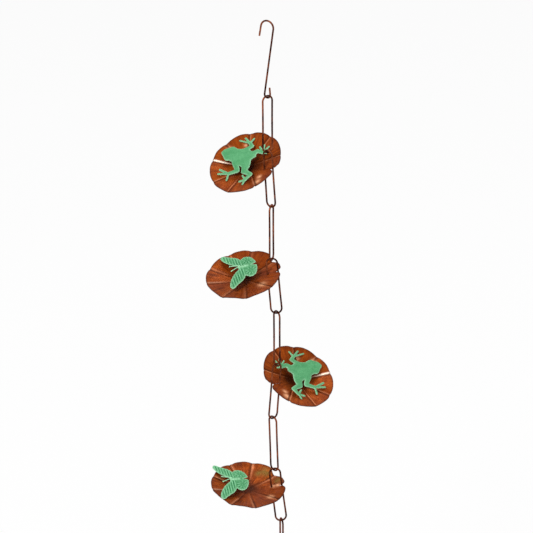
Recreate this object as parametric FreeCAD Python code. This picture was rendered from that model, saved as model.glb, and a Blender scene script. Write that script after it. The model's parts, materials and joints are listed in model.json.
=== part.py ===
"""Copper rain chain: lily pads with frogs and butterflies, hung on wire links from a hook.

Millimetres, +Z up, +Y away from the viewer. The origin is the inner top of the hook's
upper bend, where the chain hangs on its bracket, and everything else lies below it.
"""

import FreeCAD, Part
import math
import os

from FreeCAD import Placement, Rotation, Vector

# Wire of the hook and the links. A section of 12 flats stands for the round wire.
WIRE_D = 3.0
WIRE_FLATS = 12
BEND_STEPS = 8          # short straight steps in each half turn of a bend
WIRE_GAP = 0.25         # play between a link and the bend that it hangs on

# Hook, drawn in its own upright plane
HOOK_YAW = -30.0
HOOK_BEND_R = 11.5      # centreline radius of the big upper bend
HOOK_BEND_END = 170.0   # angle round the bend at which the open end leaves it
HOOK_END = 18.0         # straight open end of the upper bend
HOOK_DROP = 127.8       # from the inner top of the hook to the middle of the wire in its curl
CURL_R = 5.2            # centreline radius of the small lower curl
CURL_END_ANGLE = 5.0
CURL_END = 12.0

# Links, centreline sizes
LINK_W = 18.0
LINK_L = 96.0

# Lily pads
PAD_R = 62.5            # radius of the rim
PAD_T = 0.8             # thickness of the sheet
PAD_DEPTH = 9.0         # how far the middle lies below the rim
PAD_PROFILE = 1.6       # power of the dish's profile: 1 is a cone, 2 a bowl
PAD_SWELL = 2.4         # how far a wide panel swells up between two veins, at the rim
WIDE_PANEL = 45.0       # degrees round the pad
RIM_TO_LINK = 14.0      # from the rim in to the middle of the link in its slit
PAD_MID = PAD_R - RIM_TO_LINK
VEINS = (25, 76, 112, 153, 187, 236, 273, 320)   # degrees round the pad from its slit
SLIT_RIDGE = 3.5        # how far the slit's edges are turned up, at the rim
SLIT_RIDGE_W = 14.0     # degrees over which they turn up
SLIT_BEHIND = 14.0      # from the middle of the link in to the closed end of the slit
SLIT_END = PAD_MID - SLIT_BEHIND
SLIT_PLAY = 0.2         # on each side of the wire
LOBE_R = 9.0            # rounding of the two lobes at the mouth of the slit
SLIT_W = 1.2            # narrowest width of the slit
HUB_R = 2.5             # small flat where the veins meet
PAD_RINGS = 5           # rings of flats that stand for the pressed curve

# Frogs and butterflies, cut from sheet
CUTOUT_T = 1.2
SEAT_GAP = 0.15         # solder film under a toe or a wing tip
FROG_ARCH_R = 200.0     # the frog is arched over its spine
FROG_SPINE_Y = 4.0
FROG_FLATS = 8          # flats that stand for the arch
WING_DROOP = 6.0        # slope of a butterfly's wings from its body
BODY_D = 3.6
FEELER_D = 0.9

# The chain from the top. Yaw is the turn of the link's plane about Z from the picture's
# plane, and lean is its tilt in that plane, with the lower end towards the pad's slit.
CHAIN = (
    {"yaw": 32.0, "lean": 0.0},
    {"yaw": -40.0, "lean": 4.6, "pad": 1},
    {"yaw": 70.0, "lean": 0.0},
    {"yaw": -2.0, "lean": 5.1, "pad": 2},
    {"yaw": -58.0, "lean": 0.0},
    {"yaw": -140.0, "lean": 6.0, "pad": 3},
    {"yaw": -48.0, "lean": 2.5},
    {"yaw": 5.0, "lean": 7.1, "pad": 4},
    {"yaw": -75.0, "lean": 0.0},
)

# Each pad: how far down its link it sits, its roll about the slit, its slope along the
# slit, and whether it is the mirror image. Then the ornament and where that sits.
PADS = {
    1: {"drop": 30.0, "roll": 35.0, "slope": 1.0, "mirror": False, "ornament": "frog_1"},
    2: {"drop": 23.5, "roll": 18.5, "slope": -7.6, "mirror": False, "ornament": "butterfly_1",
        "at": (7.3, 12.0), "heading": 194.0, "bank": -3.0},
    3: {"drop": 34.0, "roll": 35.0, "slope": 1.0, "mirror": True, "ornament": "frog_2"},
    4: {"drop": 31.0, "roll": 14.0, "slope": 3.3, "mirror": False, "ornament": "butterfly_2",
        "at": (-15.6, 7.3), "heading": 185.5, "bank": -1.5},
}

# Frog, seen from above with its nose towards -X: corners of its head and body
FROG_BODY = (
    (-53.0, 4.5), (-52.0, 8.5), (-47.5, 12.0), (-43.5, 15.5), (-39.0, 19.5), (-35.0, 20.7),
    (-30.5, 19.7), (-26.5, 18.5), (-22.0, 19.4), (-16.5, 22.4), (-6.5, 24.7), (-0.5, 22.0),
    (6.5, 21.9), (12.5, 18.7), (16.0, 13.2), (13.0, 8.7), (11.5, 4.7), (14.0, -1.3),
    (17.0, -8.3), (17.0, -14.3), (6.5, -14.3), (-4.5, -11.1), (-13.5, -11.3), (-21.5, -8.3),
    (-26.5, -7.3), (-33.5, -9.1), (-38.0, -7.1), (-43.5, -2.6), (-49.0, 1.0),
)
# and its limbs as runs of (x, y, half width), each followed by the ends of its toes
FROG_LIMBS = (
    (((-11.5, 20.5, 5.0), (-5.2, 31.5, 3.4), (-13.7, 37.0, 3.0)),
     ((-34.5, 36.3, 1.6), (-29.2, 44.7, 1.7), (-14.0, 48.7, 1.7))),
    (((-13.9, -8.4, 5.4), (-0.3, -21.0, 3.8), (-13.8, -30.2, 3.0)),
     ((-33.9, -27.8, 1.7), (-32.9, -35.5, 1.6), (-11.4, -41.5, 1.8))),
    (((7.0, 15.5, 6.5), (10.4, 24.9, 4.2), (23.0, 24.5, 2.8)),
     ((9.2, 34.5, 1.5), (13.7, 40.8, 1.6), (23.7, 40.0, 1.7), (29.3, 25.6, 1.5))),
    (((8.0, -5.0, 7.5), (11.5, -19.0, 4.8), (27.0, -20.9, 3.4), (22.6, -32.6, 2.8)),
     ((14.1, -27.4, 1.5), (13.6, -38.5, 1.6), (21.9, -40.8, 1.7))),
)

# Butterfly, seen from above with its head towards -X: corners of one side's forewing and
# hindwing, from the nose round to the tail
WINGS = (
    (-15.5, 0.0), (-15.5, 5.5), (-21.5, 10.5), (-27.3, 17.2), (-32.3, 25.0), (-36.4, 34.5),
    (-38.0, 42.0), (-35.5, 48.3), (-31.5, 47.8), (-26.0, 42.5), (-20.0, 37.8), (-13.8, 33.5),
    (-9.7, 28.0), (-7.5, 22.5), (-5.0, 25.5), (-1.2, 28.5), (4.2, 28.5), (9.0, 25.2),
    (12.6, 18.8), (14.9, 10.9), (15.5, 4.0), (10.0, 1.2), (5.0, 0.0),
)
BODY_ENDS = (-17.0, 8.0)    # its nose and tail, along X
FEELER_REACH = 14.0     # how far the feelers stand out past the nose
FEELER_SPREAD = 8.0
FEELER_RISE = 3.0
FEELER_ROOT = 4.0       # how far behind the nose they are fixed
FEELER_FLATS = 6
TOE_ROOT = 0.6          # width of a toe's root, as a share of its palm


def bend_points(centre, radius, start, turn):
    """Corners of a bend in the XZ plane: short straight steps round an arc."""
    count = max(2, round(BEND_STEPS * abs(turn) / 180.0))
    step = turn / count
    outer = radius / math.cos(math.radians(step / 2))
    points = []
    for i in range(count):
        angle = math.radians(start + step * (i + 0.5))
        points.append(centre + Vector(outer * math.cos(angle), 0, outer * math.sin(angle)))
    return points


def wire_along(points, diameter, flats):
    """Solid wire along a run of straight steps, mitred at the corners."""
    first = (points[1] - points[0]).normalize()
    side = first.cross(Vector(0, 1, 0)).normalize()
    other = first.cross(side)
    corner = diameter / 2 / math.cos(math.pi / flats)
    section = []
    for i in range(flats + 1):
        angle = 2 * math.pi * (i + 0.5) / flats
        section.append(points[0] + side * (corner * math.cos(angle)) + other * (corner * math.sin(angle)))
    path = Part.makePolygon(points)
    right_corners = 1
    return path.makePipeShell([Part.makePolygon(section)], True, False, right_corners)


def make_hook():
    """S-hook in its own plane: big open bend, slanted shank, small curl."""
    bend_centre = Vector(0, 0, WIRE_D / 2 - HOOK_BEND_R)
    curl_centre = Vector(0, 0, CURL_R - HOOK_DROP)
    reach = bend_centre.z - curl_centre.z
    slant = math.degrees(math.asin((HOOK_BEND_R + CURL_R) / reach))

    end = math.radians(HOOK_BEND_END)
    leave = bend_centre + Vector(math.cos(end), 0, math.sin(end)) * HOOK_BEND_R
    open_end = leave + Vector(-math.sin(end), 0, math.cos(end)) * HOOK_END
    upper = bend_points(bend_centre, HOOK_BEND_R, HOOK_BEND_END, -slant - HOOK_BEND_END)

    lower = bend_points(curl_centre, CURL_R, 180.0 - slant, 180.0 + slant + CURL_END_ANGLE)
    end = math.radians(CURL_END_ANGLE)
    leave = curl_centre + Vector(math.cos(end), 0, math.sin(end)) * CURL_R
    curl_end = leave + Vector(-math.sin(end), 0, math.cos(end)) * CURL_END
    return wire_along([open_end] + upper + lower + [curl_end], WIRE_D, WIRE_FLATS)


def make_link():
    """Closed link in the XZ plane. The origin is the middle of the wire that it hangs on."""
    radius = LINK_W / 2
    top = WIRE_D + WIRE_GAP
    upper = bend_points(Vector(0, 0, top - radius), radius, 0.0, 180.0)
    lower = bend_points(Vector(0, 0, top - LINK_L + radius), radius, 180.0, 180.0)
    seam = Vector(radius, 0, top - LINK_L / 2)
    return wire_along([seam] + upper + lower + [seam], WIRE_D, WIRE_FLATS)


def pad_height(x, y):
    """Height of the pad's top over the plane of its rim, with the slit along +X."""
    r = math.hypot(x, y) / PAD_R
    angle = math.degrees(math.atan2(y, x)) % 360.0
    borders = (0.0,) + VEINS + (360.0,)
    panel = max(i for i in range(len(borders) - 1) if borders[i] <= angle)
    width = borders[panel + 1] - borders[panel]
    across = (angle - borders[panel]) / width
    swell = PAD_SWELL * width / WIDE_PANEL * (4 * across * (1 - across)) * r**1.5
    from_slit = min(angle, 360.0 - angle)
    ridge = SLIT_RIDGE * max(0.0, 1.0 - from_slit / SLIT_RIDGE_W) ** 1.5 * r**2
    return PAD_DEPTH * (r**PAD_PROFILE - 1.0) + swell + ridge


def ring_height(x, y):
    """Height of a point of the dish, with the veins' meeting point made flat."""
    r = math.hypot(x, y)
    if r > HUB_R + 1e-6:
        return pad_height(x, y)
    return PAD_DEPTH * ((HUB_R / PAD_R) ** PAD_PROFILE - 1.0)


def panel_ring(start, stop, radius, steps):
    """Points of one panel at one radius, from vein to vein."""
    points = []
    for i in range(steps + 1):
        angle = math.radians(start + (stop - start) * i / steps)
        x, y = radius * math.cos(angle), radius * math.sin(angle)
        points.append(Vector(x, y, ring_height(x, y)))
    return points


def strip(inner, outer):
    """Triangles between two rings of one panel that may have different numbers of steps."""
    triangles = []
    i = j = 0
    while i < len(inner) - 1 or j < len(outer) - 1:
        if (j + 1) * (len(inner) - 1) <= (i + 1) * (len(outer) - 1):
            triangles.append((inner[i], outer[j], outer[j + 1]))
            j += 1
        else:
            triangles.append((inner[i], outer[j], inner[i + 1]))
            i += 1
    return triangles


def make_dish():
    """Pressed sheet of the pad: panels that swell up between veins, round a small flat hub."""
    down = Vector(0, 0, -PAD_T)
    borders = (0.0,) + VEINS + (360.0,)
    triangles, hub, faces = [], [], []
    for start, stop in zip(borders, borders[1:]):
        rings = [panel_ring(start, stop, HUB_R + (PAD_R - HUB_R) * n / PAD_RINGS, n + 1)
                 for n in range(PAD_RINGS + 1)]
        for inner, outer in zip(rings, rings[1:]):
            triangles += strip(inner, outer)
        for a, b in zip(rings[-1], rings[-1][1:]):
            faces.append(Part.Face(Part.makePolygon([a, b, b + down, a + down, a])))
        hub.append(rings[0][0])
    hub = Part.Face(Part.makePolygon(hub + hub[:1]))
    top = [Part.Face(Part.makePolygon(list(t) + [t[0]])) for t in triangles] + [hub]
    faces += top + [face.translated(down) for face in top]
    shell = Part.makeShell(faces)
    shell.sewShape()
    return Part.makeSolid(shell)


def mouth_cut():
    """Upright tool that cuts the slit and rounds the two lobes at its mouth."""
    half = SLIT_W / 2
    lobe_y = half + LOBE_R
    lobe_x = math.sqrt((PAD_R - LOBE_R) ** 2 - lobe_y**2)
    to_rim = Vector(lobe_x, lobe_y, 0).normalize()
    lobe = Vector(lobe_x, lobe_y, 0)
    mid_turn = math.atan2(to_rim.y, to_rim.x) / 2 - math.pi / 4
    mid = lobe + Vector(math.cos(mid_turn), math.sin(mid_turn), 0) * LOBE_R
    upper = [Vector(SLIT_END, half, 0), Vector(lobe_x, half, 0), mid, to_rim * PAD_R,
             to_rim * (PAD_R + LOBE_R)]
    lower = [Vector(p.x, -p.y, 0) for p in upper]
    edges = [Part.makeLine(lower[0], upper[0]), Part.makeLine(upper[4], lower[4])]
    for side in (upper, lower):
        edges.append(Part.makeLine(side[0], side[1]))
        edges.append(Part.Arc(side[1], side[2], side[3]).toShape())
        edges.append(Part.makeLine(side[3], side[4]))
    outline = Part.Face(Part.Wire(Part.__sortEdges__(edges)))
    height = 4 * PAD_DEPTH
    return outline.translated(Vector(0, 0, -height / 2)).extrude(Vector(0, 0, height))


def make_pad():
    """One pad in its own frame: rim in the XY plane, slit along +X."""
    return make_dish().cut(mouth_cut())


def disc_hull(a, b):
    """Plan outline round two discs (x, y, radius): a bar with round, tapering ends."""
    start, end = Vector(a[0], a[1], 0), Vector(b[0], b[1], 0)
    along = end - start
    aim = math.atan2(along.y, along.x)
    spread = math.acos((a[2] - b[2]) / along.Length)

    def rim(disc, angle):
        return Vector(disc[0] + disc[2] * math.cos(angle), disc[1] + disc[2] * math.sin(angle), 0)

    left_a, left_b = rim(a, aim + spread), rim(b, aim + spread)
    right_a, right_b = rim(a, aim - spread), rim(b, aim - spread)
    edges = [
        Part.makeLine(left_a, left_b),
        Part.Arc(left_b, rim(b, aim), right_b).toShape(),
        Part.makeLine(right_b, right_a),
        Part.Arc(right_a, rim(a, aim + math.pi), left_a).toShape(),
    ]
    return Part.Face(Part.Wire(edges))


def plan_of(corners):
    """Flat outline with straight sides, from its corners (x, y)."""
    points = [Vector(x, y, 0) for x, y in corners]
    return Part.Face(Part.makePolygon(points + points[:1]))


def prism_of(faces, low, high):
    """One upright solid from flat outlines that overlap."""
    bars = [face.translated(Vector(0, 0, low)).extrude(Vector(0, 0, high - low)) for face in faces]
    return bars[0].fuse(bars[1:]).removeSplitter()


def moved(shape, place):
    """Copy of a shape, taken along by a placement."""
    copy = shape.copy()
    copy.Placement = place.multiply(copy.Placement)
    return copy


def runs_of(limbs):
    """Each limb with its toes, as runs of discs."""
    for discs, toes in limbs:
        yield from zip(discs, discs[1:])
        palm = discs[-1]
        for toe in toes:
            yield palm[:2] + (palm[2] * TOE_ROOT,), toe


def disc_points(discs):
    """Points round discs (x, y, radius) and at their middles, to feel for what lies below."""
    for x, y, radius in discs:
        yield x, y
        for i in range(12):
            angle = math.radians(30 * i)
            yield x + radius * math.cos(angle), y + radius * math.sin(angle)


def edge_points(corners):
    """Points along the straight sides between corners (x, y)."""
    for (ax, ay), (bx, by) in zip(corners, corners[1:]):
        for i in range(4):
            yield ax + (bx - ax) * i / 4, ay + (by - ay) * i / 4


def seat_height(points):
    """How far to lift points (x, y, z) of an underside so that they just clear the pad."""
    lifts = [pad_height(x, y) - z for x, y, z in points if math.hypot(x, y) < PAD_R]
    return max(lifts) + SEAT_GAP


def frog_drop(y):
    """How far the arched frog lies below its spine, out at y."""
    off = y - FROG_SPINE_Y
    return FROG_ARCH_R - math.sqrt(FROG_ARCH_R**2 - off**2)


def make_frog():
    """Frog cut from sheet and arched over its spine, standing on its toes in the dish."""
    outlines = [plan_of(FROG_BODY)] + [disc_hull(a, b) for a, b in runs_of(FROG_LIMBS)]
    prism = prism_of(outlines, -2 * PAD_DEPTH, 2 * PAD_DEPTH)
    over, under = [], []
    for i in range(FROG_FLATS + 1):
        y = FROG_SPINE_Y + PAD_R * (2 * i / FROG_FLATS - 1)
        over.append(Vector(-PAD_R, y, -frog_drop(y)))
        under.append(over[-1] - Vector(0, 0, CUTOUT_T))
    arch = Part.Face(Part.makePolygon(over + under[::-1] + over[:1]))
    frog = prism.common(arch.extrude(Vector(2 * PAD_R, 0, 0)))
    discs = [disc for run in runs_of(FROG_LIMBS) for disc in run]
    under = [(x, y, -CUTOUT_T - frog_drop(y)) for x, y in disc_points(discs)]
    return frog.translated(Vector(0, 0, seat_height(under)))


def wing_side(side):
    """One side's two wings as flat sheet, sloping down from the body."""
    sheet = plan_of(WINGS).extrude(Vector(0, 0, -CUTOUT_T))
    if side < 0:
        sheet = sheet.mirror(Vector(0, 0, 0), Vector(0, 1, 0))
    sheet.rotate(Vector(0, 0, 0), Vector(1, 0, 0), -side * WING_DROOP)
    return sheet


def butterfly_turn(pad):
    """How a butterfly is turned on its pad: the way its head points, and its bank."""
    heading = Rotation(Vector(0, 0, 1), pad["heading"] - 180.0)
    return heading.multiply(Rotation(Vector(1, 0, 0), pad["bank"]))


def butterfly_place(pad):
    """Where a butterfly stands on its pad, resting on the edges of its wings."""
    turn = butterfly_turn(pad)
    x, y = pad["at"]
    slope = math.tan(math.radians(WING_DROOP))
    under = []
    for px, py in edge_points(WINGS):
        for side in (1, -1):
            below = turn.multVec(Vector(px, side * py, -py * slope - CUTOUT_T))
            under.append((below.x + x, below.y + y, below.z))
    return Placement(Vector(x, y, seat_height(under)), turn)


def make_butterfly(pad):
    """Butterfly of folded sheet with a raised body."""
    nose, tail = BODY_ENDS
    profile = [Vector(nose, 0, 0), Vector(nose + BODY_D / 2, 0, BODY_D / 2), Vector(0, 0, BODY_D / 2),
               Vector(tail, 0, 0), Vector(nose, 0, 0)]
    body = Part.Face(Part.makePolygon(profile)).revolve(Vector(0, 0, 0), Vector(1, 0, 0), 360)
    solid = body.fuse([wing_side(1), wing_side(-1)])
    return moved(solid, butterfly_place(pad))


def make_feelers(pad):
    """Both feelers as one bent wire, laid over the butterfly's head."""
    nose = BODY_ENDS[0]
    lift = (BODY_D + FEELER_D) / 2 + SEAT_GAP
    root = Vector(nose + FEELER_ROOT, 0, lift)
    left, right = (Vector(nose - FEELER_REACH, side * FEELER_SPREAD, lift + FEELER_RISE) for side in (1, -1))
    wire = wire_along([left, root, right], FEELER_D, FEELER_FLATS)
    return moved(wire, butterfly_place(pad))


def solid_of(shape):
    """The one solid that a shape holds."""
    solids = shape.Solids
    assert len(solids) == 1, f"{len(solids)} solids instead of 1"
    return solids[0]


def link_places():
    """Placement of each link: its origin is the middle of the bend that it hangs on."""
    hinge = Vector(0, 0, -HOOK_DROP)
    pitch = LINK_L - WIRE_D - WIRE_GAP
    places = []
    for link in CHAIN:
        turn = Rotation(Vector(0, 0, 1), link["yaw"]).multiply(Rotation(Vector(0, 1, 0), -link["lean"]))
        places.append(Placement(hinge, turn))
        hinge = hinge + turn.multVec(Vector(0, 0, -pitch))
    return places


def pad_place(link, place, pad):
    """Placement of a pad on its link: the link's middle line meets the pad in its slit."""
    roll = -pad["roll"] if pad["mirror"] else pad["roll"]
    turn = Rotation(Vector(0, 0, 1), link["yaw"])
    turn = turn.multiply(Rotation(Vector(1, 0, 0), roll))
    turn = turn.multiply(Rotation(Vector(0, 1, 0), pad["slope"]))
    meet = place.multVec(Vector(0, 0, -pad["drop"]))
    on_pad = Vector(PAD_MID, 0, PAD_DEPTH * ((PAD_MID / PAD_R) ** PAD_PROFILE - 1.0))
    return Placement(meet - turn.multVec(on_pad), turn)


def slit_slab(pad):
    """Room in the pad for the link's two legs, in the link's own frame."""
    width = WIRE_D + 2 * SLIT_PLAY
    inner = SLIT_END - PAD_MID
    tall = 2 * PAD_R
    corner = Vector(inner, -width / 2, -pad["drop"] - tall / 2)
    return Part.makeBox(PAD_R - inner, width, tall, corner)


def main():
    parts = {"s_hook": make_hook().rotated(Vector(0, 0, 0), Vector(0, 0, 1), HOOK_YAW)}
    plain_link, plain_pad, plain_frog = make_link(), make_pad(), make_frog()
    for number, (link, place) in enumerate(zip(CHAIN, link_places()), start=1):
        parts[f"link_{number}"] = moved(plain_link, place)
        if "pad" not in link:
            continue
        pad = PADS[link["pad"]]
        on_pad = {f"lily_pad_{link['pad']}": plain_pad}
        if pad["ornament"].startswith("frog"):
            on_pad[pad["ornament"]] = plain_frog
        else:
            on_pad[pad["ornament"]] = make_butterfly(pad)
            on_pad[f"{pad['ornament']}_feelers"] = make_feelers(pad)
        spot = pad_place(link, place, pad)
        for name, shape in on_pad.items():
            if pad["mirror"]:
                shape = shape.mirror(Vector(0, 0, 0), Vector(0, 1, 0))
            parts[name] = moved(shape, spot)
        slab = moved(slit_slab(pad), place)
        name = f"lily_pad_{link['pad']}"
        parts[name] = parts[name].cut(slab)

    os.makedirs("parts", exist_ok=True)
    for name, shape in parts.items():
        solid_of(shape).exportStep(f"parts/{name}.step")


main()
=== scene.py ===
# %% [markdown]
# # A copper rain chain with lily pads
#
# This notebook dresses a measured model of a rain chain. The measured model, the frame, holds
# every real size and the swinging joints. Here each of its pieces gets a finer shape and its
# finish: brown wire, flame-toned copper leaves, and frogs and butterflies with a green patina.
# The frame comes first, because everything below takes its place from it.

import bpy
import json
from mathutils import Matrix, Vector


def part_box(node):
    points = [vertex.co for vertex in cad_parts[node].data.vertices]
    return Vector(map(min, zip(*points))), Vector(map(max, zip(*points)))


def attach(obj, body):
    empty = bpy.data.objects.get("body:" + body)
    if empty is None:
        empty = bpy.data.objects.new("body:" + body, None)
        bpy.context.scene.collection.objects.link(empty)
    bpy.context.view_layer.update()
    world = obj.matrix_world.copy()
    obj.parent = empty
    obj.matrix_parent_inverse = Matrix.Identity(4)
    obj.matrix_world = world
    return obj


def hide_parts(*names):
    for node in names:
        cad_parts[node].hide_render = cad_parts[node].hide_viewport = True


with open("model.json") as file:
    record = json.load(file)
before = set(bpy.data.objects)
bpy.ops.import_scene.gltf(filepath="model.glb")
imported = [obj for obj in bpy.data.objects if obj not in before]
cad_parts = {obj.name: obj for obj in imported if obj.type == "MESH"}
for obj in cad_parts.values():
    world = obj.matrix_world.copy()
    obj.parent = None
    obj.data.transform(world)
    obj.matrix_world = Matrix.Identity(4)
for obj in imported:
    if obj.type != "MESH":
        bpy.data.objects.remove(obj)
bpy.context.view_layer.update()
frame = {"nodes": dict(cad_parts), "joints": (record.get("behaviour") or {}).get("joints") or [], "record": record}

# %% [markdown]
# The shapes below are drawn in millimetres, as a workshop drawing is, and each is scaled down
# to metres when it is put in place. Python's own modules do the sums, and bmesh, Blender's
# modelling kit for scripts, does the shaping.

# %% Units and modules
import json
import math

import bmesh
import bpy
import numpy as np
from mathutils import Matrix, Vector, kdtree, noise

MM = 0.001
joints = {joint["child"]: joint for joint in frame["joints"]}
body_of_node = {}
for body, nodes in frame["record"]["behaviour"]["bodies"].items():
    for node in nodes:
        body_of_node[node] = body


def slot_of(node):
    """The record's finish slot of a CAD node."""
    for row in frame["record"]["subparts"]:
        if row["node"] == node:
            return row["material_slot"]
    return None


# %% [markdown]
# ## The camera
#
# The photo looks down on the chain by about 20 degrees from some 6 metres, which hardly tapers
# anything. A long lens does the same. Its focal length follows from two sizes: how far away the
# chain is, and how many millimetres one pixel of the square picture covers there.

# %% Camera
PICTURE = 533
MM_PER_PIXEL = 1.644
CAMERA_AWAY = 6000.0
CAMERA_PITCH = 20.0
CAMERA_ROLL = 0.26
AIM = Vector((-2.7, 0.0, -418.2))

camera_data = bpy.data.cameras.new("camera")
camera_data.sensor_width = 36.0
camera_data.lens = camera_data.sensor_width * CAMERA_AWAY / (MM_PER_PIXEL * PICTURE)
camera = bpy.data.objects.new("camera", camera_data)
bpy.context.scene.collection.objects.link(camera)
pitch = math.radians(CAMERA_PITCH)
look = Vector((0.0, math.cos(pitch), -math.sin(pitch)))
camera.location = (AIM - look * CAMERA_AWAY) * MM
roll = Matrix.Rotation(math.radians(CAMERA_ROLL), 3, look)
camera.rotation_euler = (roll @ Matrix.Rotation(math.pi / 2 - pitch, 3, "X")).to_euler()
bpy.context.scene.camera = camera
print("lens in mm:", round(camera_data.lens, 1))

# %% [markdown]
# ## Shader sums in plain Python
#
# A finish is a tree of nodes, and much of it is arithmetic: more brown here, less green there.
# Wiring each Math node by hand hides the idea. A small class wraps a node's output, so that
# Python's own signs add the Math nodes, and one method makes every other kind of node.


# %% Sockets that add up
class Channel:
    """A shader output that can be used in sums, as a number can."""

    def __init__(self, finish, socket):
        self.finish = finish
        self.socket = socket

    def sum(self, operation, first, second):
        return self.finish.make("ShaderNodeMath", {"operation": operation}, {0: first, 1: second})

    def __add__(self, other):
        return self.sum("ADD", self, other)

    def __sub__(self, other):
        return self.sum("SUBTRACT", self, other)

    def __mul__(self, other):
        return self.sum("MULTIPLY", self, other)

    def __pow__(self, other):
        return self.sum("POWER", self, other)

    def __rsub__(self, other):
        return self.sum("SUBTRACT", other, self)

    __radd__ = __add__
    __rmul__ = __mul__

    def clamped(self):
        return self.sum("MINIMUM", self.sum("MAXIMUM", self, 0.0), 1.0)


class Finish:
    """The node tree of one material."""

    def __init__(self, name):
        self.material = bpy.data.materials.new(name)
        self.material.use_nodes = True
        self.tree = self.material.node_tree
        self.tree.nodes.clear()

    def make(self, kind, settings=None, inputs=None, output=0):
        """Any node: its settings are set first, then its sockets get values or links."""
        node = self.tree.nodes.new(kind)
        for name, value in (settings or {}).items():
            if name == "stops":
                ramp = node.color_ramp.elements
                ramp[0].position, ramp[0].color = value[0]
                ramp[1].position, ramp[1].color = value[-1]
                for position, colour in value[1:-1]:
                    ramp.new(position).color = colour
            else:
                setattr(node, name, value)
        for name, value in (inputs or {}).items():
            if isinstance(value, Channel):
                self.tree.links.new(value.socket, node.inputs[name])
            else:
                node.inputs[name].default_value = value
        return Channel(self, node.outputs[output]) if node.outputs else None

    def mix(self, share, first, second):
        """A colour between two colours."""
        return self.make("ShaderNodeMix", {"data_type": "RGBA"}, {0: share, 6: first, 7: second}, 2)

    def mottle(self, where, scale, detail=4.0, roughness=0.6):
        """Cloudy values around 0.5."""
        return self.make(
            "ShaderNodeTexNoise", None,
            {"Vector": where, "Scale": scale, "Detail": detail, "Roughness": roughness},
        )

    def spread(self, value, low, high):
        """Stretches the values between low and high over 0 to 1."""
        return self.make("ShaderNodeMapRange", None, {0: value, 1: low, 2: high})

    def pressed(self, name):
        """A number that the shaping code left on each vertex."""
        return self.make("ShaderNodeAttribute", {"attribute_name": name}, None, "Fac")

    def surface(self, shader):
        self.make("ShaderNodeOutputMaterial", None, {"Surface": shader})
        return self.material


def colour(red, green, blue):
    """A colour as a screen shows it, 0 to 255, turned into the linear light that shaders use."""
    linear = []
    for part in (red, green, blue):
        part /= 255
        linear.append(part / 12.92 if part <= 0.04045 else ((part + 0.055) / 1.055) ** 2.4)
    return (*linear, 1.0)


# %% [markdown]
# ## Finish 1: darkened wire
#
# Bare copper wire turns brown in the air, a little unevenly. A long thin cloud of noise along the wire gives the
# uneven brown, and its pale pinkish end is painted highlight, scattered at random, standing in for the light that
# the thin wire catches. The metal share stays below one, because the brown film on top is not metal.


# %% Wire finish
def wire_finish():
    finish = Finish("darkened_wire")
    place = finish.make("ShaderNodeTexCoord", None, None, "Object")
    cloud = finish.spread(finish.mottle(place, 60.0), 0.42, 0.74)
    fine = finish.spread(finish.mottle(place, 700.0, 3.0), 0.3, 0.7)
    # The pale pinkish end of this cloud is painted highlight in random patches; the darker browns are the wire's
    # own film.
    brown = finish.mix(cloud, colour(50, 17, 7), colour(158, 86, 54))
    brown = finish.mix(fine * 0.3, brown, colour(26, 9, 4))
    bump = finish.make("ShaderNodeBump", None, {"Height": fine, "Strength": 0.08, "Distance": 0.0002})
    shader = finish.make(
        "ShaderNodeBsdfPrincipled", None,
        {
            "Base Color": brown, "Metallic": 0.45, "Roughness": 0.26 + 0.14 * fine,
            "Specular IOR Level": 0.12, "Specular Tint": colour(236, 160, 120), "Normal": bump,
        },
    )
    return finish.surface(shader)


# %% [markdown]
# ## Finish 2: flame-toned copper
#
# The leaves are heated with a torch until the copper goes orange, brown and in places purple, and then lacquered.
# Three clouds of different size lay those tones over each other. Streaks run out from the middle, as the torch
# did, so that cloud reads a direction that the shaping code leaves on each vertex. The veins are painted lighter,
# a painted highlight where their crests catch the light, and the rim is burnt dark. Painted shade lies in the
# middle and beside the veins, some light patches are partly painted reflection, and some dark patches are partly
# painted shadow.


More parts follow.
